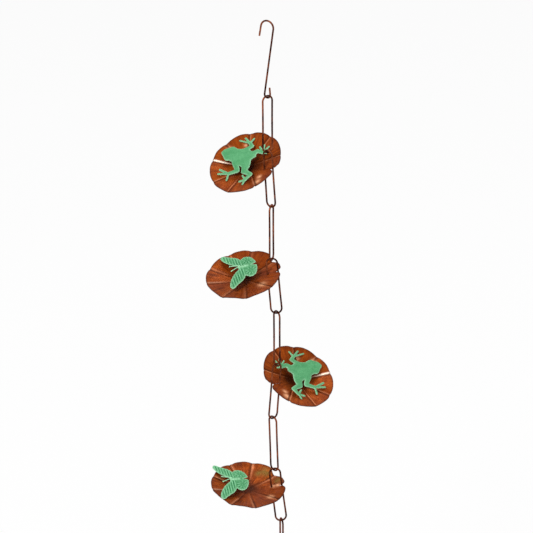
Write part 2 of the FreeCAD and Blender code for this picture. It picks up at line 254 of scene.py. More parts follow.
# %% Leaf finish
def leaf_finish():
    finish = Finish("flamed_copper")
    place = finish.make("ShaderNodeTexCoord", None, None, "Object")
    grain = finish.make("ShaderNodeAttribute", {"attribute_name": "grain"}, None, "Vector")
    wide = finish.spread(finish.mottle(place, 38.0, 3.0), 0.36, 0.66)
    small = finish.spread(finish.mottle(place, 110.0, 4.0), 0.32, 0.7)
    streak = finish.spread(finish.mottle(grain, 11.0, 5.0), 0.38, 0.64)
    hair = finish.spread(finish.mottle(grain, 42.0, 3.0), 0.36, 0.66)
    tone = finish.mix(wide, colour(118, 46, 8), colour(164, 76, 18))
    tone = finish.mix(streak * 0.75, tone, colour(92, 30, 8))
    tone = finish.mix(hair * 0.3, tone, colour(178, 86, 24))
    tone = finish.mix(small * 0.4, tone, colour(84, 30, 8))
    # Dark patches: torch colour, and partly a painted shadow beside a butterfly's wing.
    tone = finish.mix(finish.pressed("burn") * (0.25 + 0.5 * streak), tone, colour(64, 22, 10))
    # Painted shadow: the middle of the bowl, where the ornament shades it, is painted dark.
    tone = finish.mix(finish.pressed("hub") * 0.8, tone, colour(36, 11, 3))
    tone = finish.mix((finish.pressed("tarnish") * (0.4 + small)).clamped(), tone, colour(116, 88, 40))
    # Light patches: partly painted reflection, where a facet mirrors the light, and partly brighter torch colour.
    tone = finish.mix((finish.pressed("bright") * (0.5 + small)).clamped(), tone, colour(228, 164, 122))
    # Painted shade in the fold beside each vein, on its steep side.
    tone = finish.mix(finish.pressed("hollow") * 0.75, tone, colour(52, 18, 6))
    # Painted highlight: the veins are painted lighter where their crests catch the light.
    vein = (finish.pressed("vein") * (0.45 + 0.55 * wide)).clamped()
    tone = finish.mix(vein * 0.8, tone, colour(196, 130, 94))
    # Painted highlight: the tallest vein of the frogs' leaves is painted nearly white.
    tone = finish.mix(finish.pressed("polish").clamped(), tone, colour(255, 236, 216))
    tone = finish.mix((finish.pressed("rim") * 0.9).clamped(), tone, colour(58, 20, 8))
    relief = small * 0.4 + streak * 0.8 + hair * 0.4
    bump = finish.make("ShaderNodeBump", None, {"Height": relief, "Strength": 0.3, "Distance": 0.0006})
    shader = finish.make(
        "ShaderNodeBsdfPrincipled", None,
        {
            "Base Color": tone, "Metallic": 0.22, "Roughness": 0.34 + 0.16 * small,
            "Specular IOR Level": 0.12, "Specular Tint": colour(236, 160, 110), "Normal": bump,
        },
    )
    return finish.surface(shader)


# %% [markdown]
# ## Finish 3: green patina
#
# Copper that is kept wet with salts grows a chalky green skin. It is not metal to look at: it is matt, paler where
# it is thick or rubbed, and darker in the hollows. The shaping code marks how close each vertex is to an edge and
# how high it was pressed, and the finish lightens both. Near the cut edges that is painted highlight; on the
# pressed crests of the wings it is rubbed wear; on a frog's snout, a butterfly's head and the feelers it is
# painted highlight.


# %% Patina finish
def patina_finish():
    finish = Finish("green_patina")
    place = finish.make("ShaderNodeTexCoord", None, None, "Object")
    wide = finish.spread(finish.mottle(place, 70.0, 3.0), 0.34, 0.66)
    small = finish.spread(finish.mottle(place, 420.0, 5.0), 0.32, 0.7)
    tone = finish.mix(wide, colour(72, 143, 92), colour(91, 161, 110))
    tone = finish.mix(small * 0.5, tone, colour(50, 120, 77))
    tone = finish.mix(finish.pressed("groove") * 0.9, tone, colour(30, 108, 66))
    # Crests are lighter: rubbed wear on the wing pattern, painted highlight on the frog's snout, the butterfly's
    # head and the feelers.
    tone = finish.mix(finish.pressed("crest") * 0.7, tone, colour(146, 212, 166))
    # Painted highlight along the cut edges.
    edge_highlight = (finish.pressed("edge") * (0.35 + small)).clamped()
    tone = finish.mix(edge_highlight * 0.8, tone, colour(176, 232, 190))
    bump = finish.make("ShaderNodeBump", None, {"Height": small, "Strength": 0.3, "Distance": 0.0004})
    shader = finish.make(
        "ShaderNodeBsdfPrincipled", None,
        {
            "Base Color": tone, "Metallic": 0.0, "Roughness": 0.62 + 0.15 * small,
            "Specular IOR Level": 0.2, "Normal": bump,
        },
    )
    return finish.surface(shader)


materials = {
    "wire": wire_finish(),
    "flamed_copper": leaf_finish(),
    "verdigris": patina_finish(),
}
print("finishes:", ", ".join(materials))

# %% [markdown]
# ## From a bmesh to a piece
#
# Every piece below ends the same way: its mesh becomes an object that sits at the origin, takes
# the finish of its slot, rides on its swinging body and stands in for the plain CAD piece.

# %% Finish a piece
SHARP_EDGE = math.radians(38)


def add_piece(bm, name, node, material=None):
    """Makes the mesh an object that stands for a CAD node."""
    mesh = bpy.data.meshes.new(name)
    for face in bm.faces:
        face.smooth = True
    bm.to_mesh(mesh)
    bm.free()
    mesh.set_sharp_from_angle(angle=SHARP_EDGE)
    piece = bpy.data.objects.new(name, mesh)
    bpy.context.scene.collection.objects.link(piece)
    slot = slot_of(node)
    mesh.materials.append(materials[material or slot])
    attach(piece, body_of_node[node])
    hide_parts(node)
    return piece


def put_in_place(bm, place):
    """Scales a mesh drawn in millimetres to metres and puts it in its place."""
    bmesh.ops.transform(bm, matrix=place @ Matrix.Scale(MM, 4), verts=bm.verts)


def place_from(x_axis, y_axis, z_axis, origin):
    """A placement from three directions and a point."""
    turn = Matrix((x_axis, y_axis, z_axis)).transposed().to_4x4()
    return Matrix.Translation(origin) @ turn


# %% [markdown]
# ## Bent wire
#
# The links and the hook are round wire bent round pegs. A ring of vertices is pushed along the
# straights and spun round the bends, which is how the wire itself goes. Both kinds of step take
# the open end of the tube and give back the new one.

# %% Steps of a wire
WIRE_SIDES = 20
BEND_STEPS = 22


def wire_start(bm, radius, point, direction):
    """A ring round a point, facing along the wire."""
    verts = bmesh.ops.create_circle(bm, cap_ends=False, radius=radius, segments=WIRE_SIDES)["verts"]
    turn = Vector((0, 0, 1)).rotation_difference(direction).to_matrix().to_4x4()
    bmesh.ops.transform(bm, matrix=Matrix.Translation(point) @ turn, verts=verts)
    return verts


def edges_of(verts):
    """The edges that join these vertices to each other."""
    chosen = set(verts)
    return [edge for edge in {e for v in verts for e in v.link_edges} if chosen.issuperset(edge.verts)]


def wire_straight(bm, ring, step, pieces=1):
    """Pushes the open end along, in so many pieces."""
    for _ in range(pieces):
        made = bmesh.ops.extrude_edge_only(bm, edges=edges_of(ring))["geom"]
        ring = [v for v in made if isinstance(v, bmesh.types.BMVert)]
        bmesh.ops.translate(bm, vec=step / pieces, verts=ring)
    return ring


def wire_bend(bm, ring, centre, degrees):
    """Spins the open end round a peg that stands along Y. Plus turns from +X towards +Z."""
    steps = max(2, round(BEND_STEPS * abs(degrees) / 180))
    made = bmesh.ops.spin(
        bm, geom=ring + edges_of(ring), cent=centre, axis=(0, -1, 0), dvec=(0, 0, 0),
        angle=math.radians(degrees), steps=steps,
    )["geom_last"]
    return [v for v in made if isinstance(v, bmesh.types.BMVert)]


# %% [markdown]
# ## The links
#
# Each link hangs at its own turn and lean. Its CAD mesh tells both: the three directions in
# which the mesh is longest, widest and thinnest are the directions of the link. A spread of
# points has such directions, and they come from its covariance. The two long legs bow a little,
# as wire bent by hand does, and the soldered joint shows as a small swelling.


# %% Where a flat piece lies
def lie_of(node):
    """Middle, directions and sizes of a CAD node: widest as X, thinnest as Y, longest as Z."""
    points = np.array([v.co for v in frame["nodes"][node].data.vertices])
    directions = np.linalg.eigh(np.cov(points.T))[1]
    thin, wide, long = (Vector(directions[:, i]) for i in range(3))
    if long.z < 0:
        long = -long
    thin = long.cross(wide)
    axes = (wide, thin, long)
    reach = [points @ np.array(axis) for axis in axes]
    middle = sum((axis * float(r.min() + r.max()) / 2 for axis, r in zip(axes, reach)), Vector())
    sizes = [float(np.ptp(r)) / MM for r in reach]
    return place_from(*axes, middle), sizes


# %% Make the links
LEG_PIECES = 14
LEG_BOW = 0.25
SEAM_SWELL = 0.12
SEAM_HALF = 1.6


def make_link(node):
    """One closed link, from the joint in its right leg all the way round."""
    place, (width, wire, length) = lie_of(node)
    bend = (width - wire) / 2
    leg = (length - wire) / 2 - bend
    bm = bmesh.new()
    ring = wire_start(bm, wire / 2, Vector((bend, 0, 0)), Vector((0, 0, 1)))
    ring = wire_straight(bm, ring, Vector((0, 0, leg)), LEG_PIECES)
    ring = wire_bend(bm, ring, Vector((0, 0, leg)), 180)
    ring = wire_straight(bm, ring, Vector((0, 0, -2 * leg)), 2 * LEG_PIECES)
    ring = wire_bend(bm, ring, Vector((0, 0, -leg)), 180)
    wire_straight(bm, ring, Vector((0, 0, leg)), LEG_PIECES)
    bmesh.ops.remove_doubles(bm, verts=bm.verts, dist=wire / 100)
    for vert in bm.verts:
        if abs(vert.co.z) < leg:
            bow = math.cos(math.pi / 2 * vert.co.z / leg)
            vert.co.x -= LEG_BOW * bow * math.copysign(1, vert.co.x)
    for vert in bm.verts:
        if vert.co.x > 0:
            swell = SEAM_SWELL * math.exp(-((vert.co.z / SEAM_HALF) ** 2))
            axis = Vector((bend - LEG_BOW, 0, vert.co.z))
            vert.co += (vert.co - axis).normalized() * swell
    bmesh.ops.recalc_face_normals(bm, faces=bm.faces)
    put_in_place(bm, place)
    return add_piece(bm, f"{node}_wire", node)


links = [make_link(node) for node in sorted(frame["nodes"]) if node.startswith("link_")]
print("links:", len(links))

# %% [markdown]
# ## The hook
#
# The hook is one length of the same wire: a big open bend that goes over the bracket, a slanted
# shank and a small curl that carries the first link. Its plane is the one across which the
# first link swings, so the first joint's axis gives its direction. The cut ends are rounded off
# as a file would leave them.

# %% Make the hook
HOOK_BEND = 11.5
HOOK_BEND_END = 170.0
HOOK_END = 18.0
CURL = 5.2
CURL_END_ANGLE = 5.0
CURL_END = 12.0
END_ROUNDING = 0.7


def on_circle(centre, radius, degrees):
    angle = math.radians(degrees)
    return centre + Vector((math.cos(angle), 0, math.sin(angle))) * radius


def make_hook(node):
    """The wire from the open end, over the bracket and down to the curl."""
    wire = lie_of(node)[1][1]
    first_joint = joints["swinging_link_1"]
    drop = -first_joint["pos_m"][2] / MM
    peg = Vector((0, 0, wire / 2 - HOOK_BEND))
    curl = Vector((0, 0, CURL - drop))
    slant = math.degrees(math.asin((HOOK_BEND + CURL) / (peg.z - curl.z)))
    along_end = on_circle(Vector(), 1.0, HOOK_BEND_END - 90)
    along_curl_end = on_circle(Vector(), 1.0, CURL_END_ANGLE + 90)

    bm = bmesh.new()
    leave = on_circle(peg, HOOK_BEND, HOOK_BEND_END)
    tip = wire_start(bm, wire / 2, leave - along_end * HOOK_END, along_end)
    ring = wire_straight(bm, tip, along_end * HOOK_END, 4)
    ring = wire_bend(bm, ring, peg, -slant - HOOK_BEND_END)
    shank = on_circle(curl, CURL, 180 - slant) - on_circle(peg, HOOK_BEND, -slant)
    ring = wire_straight(bm, ring, shank, 12)
    ring = wire_bend(bm, ring, curl, 180 + slant + CURL_END_ANGLE)
    ring = wire_straight(bm, ring, along_curl_end * CURL_END, 3)
    for open_ring in (tip, ring):
        cap = bmesh.ops.contextual_create(bm, geom=edges_of(open_ring))["faces"]
        bmesh.ops.bevel(
            bm, geom=edges_of(open_ring), offset=END_ROUNDING, offset_type="OFFSET", segments=3,
            profile=0.5, affect="EDGES", material=-1,
        )
        print("hook end closed with faces:", len(cap))
    bmesh.ops.recalc_face_normals(bm, faces=bm.faces)
    across = Vector(first_joint["axis"])
    up = Vector((0, 0, 1))
    put_in_place(bm, place_from(across, up.cross(across), up, Vector()))
    return add_piece(bm, "hook_wire", node)


hook = make_hook("s_hook")

# %% [markdown]
# ## Where each leaf sits
#
# A leaf is soldered into the link that runs through its slit. The link's two joints give its
# line and its crosswise direction. From there the leaf sits so far down, rolled about the slit
# and tipped along it. Those three numbers are the workshop's own, one row for each leaf.

# %% Leaf places
LEAF_R = 62.5
LEAF_DEPTH = 9.0
LEAF_PROFILE = 1.6
RIM_TO_LINK = 14.0
SLIT_BEHIND = 14.0

LEAVES = {
    1: {"body": "swinging_link_2", "next": "swinging_link_3", "drop": 33.25, "roll": 35.0, "slope": 1.0},
    2: {"body": "swinging_link_4", "next": "swinging_link_5", "drop": 26.75, "roll": 18.5, "slope": -7.6,
        "at": (7.3, 12.0), "heading": 194.0, "bank": -3.0},
    3: {"body": "swinging_link_6", "next": "swinging_link_7", "drop": 37.25, "roll": -35.0, "slope": 1.0},
    4: {"body": "swinging_link_8", "next": "swinging_link_9", "drop": 34.25, "roll": 14.0, "slope": 3.3,
        "at": (-15.6, 7.3), "heading": 185.5, "bank": -1.5},
}


def link_place(leaf):
    """The link that carries a leaf: X across it, Z up along it, the origin in its top bend."""
    top = joints[leaf["body"]]
    bottom = joints[leaf["next"]]
    across = Vector(top["axis"])
    up = (Vector(top["pos_m"]) - Vector(bottom["pos_m"])).normalized()
    return place_from(across, up.cross(across), up, Vector(top["pos_m"]))


def dish(radius):
    """How far the plain bowl of a leaf lies below its rim."""
    return LEAF_DEPTH * ((radius / LEAF_R) ** LEAF_PROFILE - 1)


def leaf_place(leaf):
    """A leaf's own frame: its rim in the XY plane, its slit along +X."""
    link = link_place(leaf)
    across = link.col[0]
    yaw = math.atan2(across.y, across.x)
    turn = Matrix.Rotation(yaw, 4, "Z")
    turn = turn @ Matrix.Rotation(math.radians(leaf["roll"]), 4, "X")
    turn = turn @ Matrix.Rotation(math.radians(leaf["slope"]), 4, "Y")
    meet = link @ Vector((0, 0, -leaf["drop"] * MM))
    seat = Vector((LEAF_R - RIM_TO_LINK, 0, dish(LEAF_R - RIM_TO_LINK))) * MM
    return Matrix.Translation(meet - turn @ seat) @ turn


# %% [markdown]
# ## Pressing a leaf
#
# The real leaf is a disc of sheet, slit to the link and pressed over a form: a shallow bowl whose
# panels swell up between veins, with a sharp fold along each vein and the slit's edges turned up.
# A line of vertices spun all the way round gives rings and spokes that follow that form. Each
# vertex is then pressed to its height by one formula, so the folds stay where the veins are.

# %% The leaf's form
VEINS = (30, 78, 115, 156, 192, 238, 275, 320)
CRESTS = (1.2, 0.9, 1.5, 1.0, 2.0, 1.3, 1.2, 1.8)
NOTCH_W = 5.0
FROG_RIM = {
    "notches": (0.8, 1.0, 1.6, 1.2, 1.4, 1.8, -1.6, 2.6),
    "bulges": (1.5, 0.5, 0.0, 0.0, 0.0, -1.0, 0.0, 2.4, 0.0),
    "bite": (34.0, 17.0, 0.0),
}
BUTTERFLY_RIM = {
    "notches": (0.8, 1.0, 1.2, 1.0, 0.4, -1.4, -0.8, 1.0),
    "bulges": (0.0, 0.0, 0.0, 0.0, 0.0, -0.8, -1.6, 0.6, 0.0),
    "bite": (34.0, 17.0, 7.0),
}
BORDERS = (0, *VEINS, 360)
SWELL = 3.2
WIDE_PANEL = 45.0
SLIT_RIDGE = 3.5
SLIT_RIDGE_W = 14.0
LOBE_R = 9.0
SLIT_W = 1.2
FOLD_STEEP = 0.9
FOLD_GENTLE = 2.4
DENT = 0.7
DENT_SIZE = 11.0


def from_vein(vein, x, y):
    """How far a point lies along a vein and aside of it."""
    angle = math.radians(vein)
    return x * math.cos(angle) + y * math.sin(angle), y * math.cos(angle) - x * math.sin(angle)


def fold_at(x, y, steep=FOLD_STEEP, gentle=FOLD_GENTLE, crests=CRESTS):
    """Height of the nearest vein's fold at a point, steep on one side."""
    share = math.hypot(x, y) / LEAF_R
    best = 0.0
    for vein, crest in zip(VEINS, crests):
        along, aside = from_vein(vein, x, y)
        if along > 0:
            width = (steep if aside > 0 else gentle) * (0.4 + 0.6 * share)
            best = max(best, crest * math.exp(-((aside / width) ** 2)))
    return best * min(1.0, max(0.0, share * 1.8 - 0.3))


def panel_at(angle):
    """Which panel an angle in degrees is in, its width, and the bulge from 0 at a vein to 1."""
    panel = max(i for i in range(len(BORDERS) - 1) if BORDERS[i] <= angle)
    width = BORDERS[panel + 1] - BORDERS[panel]
    across = (angle - BORDERS[panel]) / width
    return panel, width, 4 * across * (1 - across)


def leaf_height(x, y):
    """Height of the pressed sheet over the plane of its rim."""
    share = math.hypot(x, y) / LEAF_R
    angle = math.degrees(math.atan2(y, x)) % 360
    _, width, bulge = panel_at(angle)
    swell = SWELL * width / WIDE_PANEL * bulge * share**1.5
    from_slit = min(angle, 360 - angle)
    ridge = SLIT_RIDGE * max(0.0, 1 - from_slit / SLIT_RIDGE_W) ** 1.5 * share**2
    dents = DENT * share * noise.noise(Vector((x, y, 0)) / DENT_SIZE)
    return dish(math.hypot(x, y)) + swell + ridge + fold_at(x, y) * share + dents


def leaf_reach(angle, rim):
    """How far the sheet reaches at an angle from the slit: the rim, or the lobe at its mouth."""
    lobe_y = SLIT_W / 2 + LOBE_R
    lobe = Vector((math.sqrt((LEAF_R - LOBE_R) ** 2 - lobe_y**2), lobe_y))
    off = abs((angle + math.pi) % (2 * math.pi) - math.pi)
    if off >= math.atan2(lobe.y, lobe.x):
        degrees = math.degrees(angle) % 360
        panel, _, bulge = panel_at(degrees)
        cuts = zip(VEINS, rim["notches"])
        notch = sum(cut * math.exp(-abs(degrees - vein) / NOTCH_W) for vein, cut in cuts)
        middle, half, deep = rim["bite"]
        away = min(1.0, abs(degrees - middle) / half)
        notch += deep * math.cos(math.pi / 2 * away) ** 2
        return LEAF_R - notch + rim["bulges"][panel] * bulge
    along = lobe.x * math.cos(off) + lobe.y * math.sin(off)
    return along + math.sqrt(max(0.0, along**2 - lobe.length_squared + LOBE_R**2))


# %% [markdown]
# ## What the torch leaves
#
# The finish needs to know where it is on the leaf. The veins are painted lighter, a painted highlight along their
# crests, and on the frogs' leaves the tallest one is painted nearly white, a painted highlight. Painted shade lies
# in the fold below each vein, and painted shadow in the middle, where the ornament shades the deep bowl. Some
# panels have a gold-green patch of tarnish, some a light patch that is partly painted reflection and partly
# brighter torch colour, and some a dark patch of torch colour, in one place with a painted shadow beside a
# butterfly's wing. All of that is kept as numbers on the vertices.

# %% Marks on a leaf
# The vein that carries the painted highlight, nearly white on the frogs' leaves.
HIGHLIGHT_VEIN = 4
RIM_BURN = 1.4
# Centre and size of the painted shadow in the middle of a butterfly's leaf.
HUB_SHADOW = (6.0, 2.0, 15.0)
# In each row, the middle patch is a painted shadow, the vein strengths and width are for painted highlights, the
# light spots are partly painted reflection and partly torch colour, the gold-green spots are tarnish, and the dark
# spots are torch colour with in places a painted shadow.
FROG_LEAF = {
    "hub": (15.0, 1.0, 18.0),
    "polish": 1.0, "vein_highlight_w": 1.0, "vein": 1.0,
    "bright": ((328, 52, 5.0), (336, 44, 4.0), (158, 50, 4.0), (124, 42, 3.5)), "tarnish": (),
    "burn": (),
}
MARKS = {
    1: FROG_LEAF,
    2: {"hub": HUB_SHADOW, "polish": 0.1, "vein_highlight_w": 2.4, "vein": 0.5, "bright": ((322, 40, 6.0),), "tarnish": (),
        "burn": ((217, 48, 9.0), (170, 51, 8.0), (17, 31, 9.0), (329, 27, 5.0))},
    3: FROG_LEAF,
    4: {"hub": HUB_SHADOW, "polish": 0.1, "vein_highlight_w": 2.2, "vein": 0.9,
        "bright": ((322, 45, 5.0), (2, 50, 3.5), (2, 42, 3.5)),
        "tarnish": ((50, 50, 9.0), (60, 42, 6.0), (16, 54, 7.0)),
        "burn": ((160, 47, 10.0), (249, 45, 9.0), (207, 51, 8.0), (101, 59, 10.0), (300, 35, 6.0))},
}


def patches(spots, x, y):
    """Strength of a leaf's patches at a point, 0 to 1."""
    best = 0.0
    for degrees, radius, size in spots:
        angle = math.radians(degrees)
        away = math.hypot(x - radius * math.cos(angle), y - radius * math.sin(angle))
        best = max(best, math.exp(-((away / size) ** 2)))
    return best


def leaf_marks(number, x, y, radius):
    """All the numbers that the finish reads, by name."""
    marks = MARKS[number]
    share = math.hypot(x, y) / LEAF_R
    one = (1.0,) * len(VEINS)
    # Painted highlight along the veins, as wide as the leaf's row asks.
    vein = fold_at(x, y, 0.5 * marks["vein_highlight_w"], 1.3 * marks["vein_highlight_w"], one)
    # The painted highlight on that one vein, faded out towards the middle.
    highlight_crests = tuple(float(i == HIGHLIGHT_VEIN) for i in range(len(VEINS)))
    # Centre and size of the painted shadow in the middle.
    hub_x, hub_y, shadow_size = marks["hub"]
    # Painted shade: a dark line just beside each vein, on its steep side.
    shade_beside_vein = 0.0
    for angle in VEINS:
        along, aside = from_vein(angle, x, y)
        if along > 0:
            shade_beside_vein = max(shade_beside_vein, math.exp(-(((aside - 2.6) / 1.6) ** 2)))
    return {
        "vein": marks["vein"] * vein,
        "polish": marks["polish"] * fold_at(x, y, 1.1, 2.2, highlight_crests) * min(1.0, max(0.0, share * 3 - 1)),
        "hollow": shade_beside_vein * min(1.0, share * 1.5),
        "rim": math.exp(-(LEAF_R - radius) / RIM_BURN),
        "hub": math.exp(-((math.hypot(x - hub_x, y - hub_y) / shadow_size) ** 2)),
        # Light patches, partly painted reflection and partly torch colour.
        "bright": patches(marks["bright"], x, y),
        "tarnish": patches(marks["tarnish"], x, y),
        # Dark patches, torch colour with in places a painted shadow.
        "burn": patches(marks["burn"], x, y),
    }


# %% [markdown]
# The slit is cut by planes. Bisecting planes in the link's own frame mark a narrow cut from the
# rim inwards and a wider hole round each leg of the wire, and the faces inside are deleted. The
# sheet gets its thickness last, from a Solidify modifier, because a single sheet is easier to
# press and cut.

# %% Make the leaves
LEAF_RINGS = 36
LEAF_SPOKES = 720
SHEET = 0.8
SLIT_HALF = 0.35
HOLE_HALF = 1.45
RIM_BEVEL = 0.22


def cut_slit(bm, to_link, leg):
    """Cuts the slit and the holes for the link's legs, which stand so far aside of its middle."""
    from_link = to_link.inverted()
    end = leg + HOLE_HALF

    def inside(face, half_x, half_y, middle):
        point = to_link @ face.calc_center_median()
        return abs(point.y) < half_y and abs(point.x - middle) < half_x

    cuts = [(0, half, 0) for half in (SLIT_HALF, -SLIT_HALF, HOLE_HALF, -HOLE_HALF)]
    cuts += [(side * leg + half, 0, 0) for side in (1, -1) for half in (HOLE_HALF, -HOLE_HALF)]
    for point in cuts:
        near = [face for face in bm.faces if inside(face, 40.0, 3 * HOLE_HALF, 40.0 - end - 2)]
        geometry = set(near)
        for face in near:
            geometry.update(face.edges)
            geometry.update(face.verts)
        normal = (0, 1, 0) if point[1] else (1, 0, 0)
        bmesh.ops.bisect_plane(
            bm, geom=list(geometry), dist=0.001, plane_co=from_link @ Vector(point),
            plane_no=from_link.to_3x3() @ Vector(normal),
        )
    slot = {face for face in bm.faces if inside(face, 40.0, SLIT_HALF, 40.0 - leg)}
    for side in (1, -1):
        slot.update(face for face in bm.faces if inside(face, HOLE_HALF, HOLE_HALF, side * leg))
    bmesh.ops.delete(bm, geom=list(slot), context="FACES")
    print("slit faces removed:", len(slot))


def make_leaf(number, leaf):
    node = f"lily_pad_{number}"
    mirrored = leaf["roll"] < 0
    bm = bmesh.new()
    line = [bm.verts.new((0, 0, 0)), bm.verts.new((LEAF_R, 0, 0))]
    edge = bm.edges.new(line)
    bmesh.ops.subdivide_edges(bm, edges=[edge], cuts=LEAF_RINGS - 1)
    bmesh.ops.spin(
        bm, geom=bm.verts[:] + bm.edges[:], cent=(0, 0, 0), axis=(0, 0, 1), dvec=(0, 0, 0),
        angle=2 * math.pi, steps=LEAF_SPOKES, use_merge=True,
    )
    bmesh.ops.remove_doubles(bm, verts=bm.verts, dist=0.001)

    layers = {name: bm.verts.layers.float.new(name) for name in leaf_marks(number, 1.0, 0.0, 1.0)}
    grain = bm.verts.layers.float_vector.new("grain")
    for vert in bm.verts:
        x, y = vert.co.x, vert.co.y
        angle = math.atan2(y, x)
        radius = math.hypot(x, y)
        share = radius / LEAF_R
        reach = share * leaf_reach(angle, BUTTERFLY_RIM if "at" in leaf else FROG_RIM)
        x, y = reach * math.cos(angle), reach * math.sin(angle)
        for name, value in leaf_marks(number, x, y, radius).items():
            vert[layers[name]] = value
        vert[grain] = Vector((math.cos(angle), math.sin(angle), 0.12 * share + number))
        vert.co = (x, y, leaf_height(x, y))
    if mirrored:
        bmesh.ops.transform(bm, matrix=Matrix.Scale(-1, 4, Vector((0, 1, 0))), verts=bm.verts)

    place = leaf_place(leaf)
    in_mm = Matrix.Scale(1 / MM, 4)
    link = link_place(leaf)
    to_link = in_mm @ link.inverted() @ place @ in_mm.inverted()
    width, wire, _ = lie_of(next(n for n in body_of_node if body_of_node[n] == leaf["body"]))[1]
    cut_slit(bm, to_link, (width - wire) / 2)
    bmesh.ops.recalc_face_normals(bm, faces=bm.faces)
    top = sum((face.normal.z * face.calc_area() for face in bm.faces))
    if top < 0:
        bmesh.ops.reverse_faces(bm, faces=bm.faces)
    put_in_place(bm, place)
    piece = add_piece(bm, f"{node}_leaf", node)
    sheet = piece.modifiers.new("sheet", "SOLIDIFY")
    sheet.thickness = SHEET * MM
    sheet.offset = -1.0
    rounding = piece.modifiers.new("rounding", "BEVEL")
    rounding.width = RIM_BEVEL * MM
    rounding.segments = 2
    rounding.limit_method = "ANGLE"
    rounding.angle_limit = math.radians(60)
    low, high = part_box(node)
    points = [v.co for v in piece.data.vertices]
    off = max(abs(min(p[i] for p in points) - low[i]) for i in range(3))
    print(node, "lies within mm of its CAD box:", round(off / MM, 2))
    return piece


leaves = {number: make_leaf(number, leaf) for number, leaf in LEAVES.items()}

# %% [markdown]
# ## Cut-out frogs and butterflies
#
# The ornaments are cut from sheet and pressed a little hollow, so that their bodies and limbs
# stand up from the edge. The CAD pieces already have the exact outlines. A copy of such a mesh is
# remeshed into small even squares, which also rounds its cut edges, and then each vertex is
# raised by how far it is from the nearest edge.

# %% Remesh a cut-out
VOXEL = 0.45


def cut_out(node, place):
    """A finely meshed copy of a CAD node, in its own frame in millimetres."""
    plain = bmesh.new()
    plain.from_mesh(frame["nodes"][node].data)
    bmesh.ops.remove_doubles(plain, verts=plain.verts, dist=MM / 1000)
    bmesh.ops.transform(plain, matrix=(place @ Matrix.Scale(MM, 4)).inverted(), verts=plain.verts)
    mesh = bpy.data.meshes.new("blank")
    plain.to_mesh(mesh)
    plain.free()
    blank = bpy.data.objects.new("blank", mesh)
    bpy.context.scene.collection.objects.link(blank)
    remesh = blank.modifiers.new("remesh", "REMESH")
    remesh.mode = "VOXEL"
    remesh.voxel_size = VOXEL
    fine = bmesh.new()
    fine.from_object(blank, bpy.context.evaluated_depsgraph_get())
    bpy.data.objects.remove(blank)
    bmesh.ops.smooth_vert(
        fine, verts=fine.verts, factor=0.5, use_axis_x=True, use_axis_y=True, use_axis_z=True
    )
    fine.normal_update()
    return fine


def edge_finder(bm, tilt=0.5):
    """A search tree of the points on the cut edges, where the surface stands upright."""
    rim = [v.co for v in bm.verts if abs(v.normal.z) < tilt]
    tree = kdtree.KDTree(len(rim))
    for i, point in enumerate(rim):
        tree.insert((point.x, point.y, 0), i)
    tree.balance()
    return tree


# %% [markdown]
# A frog is arched over its back and its limbs are creased, so they catch light on one side. The
# rise grows quickly near the edge and then levels off. That gives narrow limbs a ridge and leaves
# the back gently domed.

# %% Make the frogs
FROG_RISE = 2.2
FROG_RISE_W = 2.6
EDGE_HIGHLIGHT = 0.8
SNOUT = -48.0
SNOUT_FALL = 0.6


def make_frog(number, leaf):
    node = f"frog_{number}"
    place = leaf_place(leaf)
    bm = cut_out(node, place)
    tree = edge_finder(bm)
    edge = bm.verts.layers.float.new("edge")
    crest = bm.verts.layers.float.new("crest")
    bm.verts.layers.float.new("groove")
    for vert in bm.verts:
        away = tree.find((vert.co.x, vert.co.y, 0))[2]
        rise = 1 - math.exp(-away / FROG_RISE_W)
        snout = max(0.0, SNOUT - vert.co.x)
        vert.co.z += FROG_RISE * rise - SNOUT_FALL * snout
        # Near the cut edges the colour is painted pale, a painted highlight.
        vert[edge] = math.exp(-away / EDGE_HIGHLIGHT)
        # The snout facet is painted lighter, a painted highlight where it faces the light.
        vert[crest] = 0.5 * min(1.0, snout)
    put_in_place(bm, place)
    print(node, "vertices:", len(bm.verts))
    return add_piece(bm, f"{node}_sheet", node)


frogs = [make_frog(1, LEAVES[1]), make_frog(2, LEAVES[3])]

# %% [markdown]
# The butterflies carry a pressed pattern: ribs on the long forewings and a ring of dimples on the round hindwings,
# inside a plain rim. Each wing is drawn in the butterfly's own frame, with its head along -X, and both sides share
# one formula because it only looks at the distance from the body. The grooves are darker, as patina is where water
# stands, and the crests are rubbed pale. The head and the cut edges are painted pale, a painted highlight.

# %% Make the butterflies
HINDWING = Vector((3.5, 15.0))
HINDWING_R = 12.5
FORE_END = -8.0
RIB_PITCH = 4.3
DIMPLE_RING = 7.0
DIMPLES = 9
RIB_HEIGHT = 0.5
WING_RIM = 3.0
UNEVEN = 9.0
BODY_HALF = 2.6
HEAD = -13.0


def butterfly_place(leaf):
    """A butterfly's own frame on its leaf, apart from its height: head along -X, wings along Y."""
    turn = Matrix.Rotation(math.radians(leaf["heading"] - 180), 4, "Z")
    turn = turn @ Matrix.Rotation(math.radians(leaf["bank"]), 4, "X")
    return leaf_place(leaf) @ Matrix.Translation(Vector((*leaf["at"], 0)) * MM) @ turn


def wing_pattern(x, y):
    """Pressed height on the wings, -1 to 1."""
    off = Vector((x, abs(y))) - HINDWING
    if x > FORE_END and off.length < HINDWING_R:
        dimples = math.cos(DIMPLES * math.atan2(off.y, off.x))
        ring = math.exp(-(((off.length - DIMPLE_RING) / 2.2) ** 2))
        middle = math.cos(math.pi * off.length / 2.6) * math.exp(-((off.length / 4.0) ** 2))
        return dimples * ring + 0.8 * middle
    return math.cos(2 * math.pi * x / RIB_PITCH)


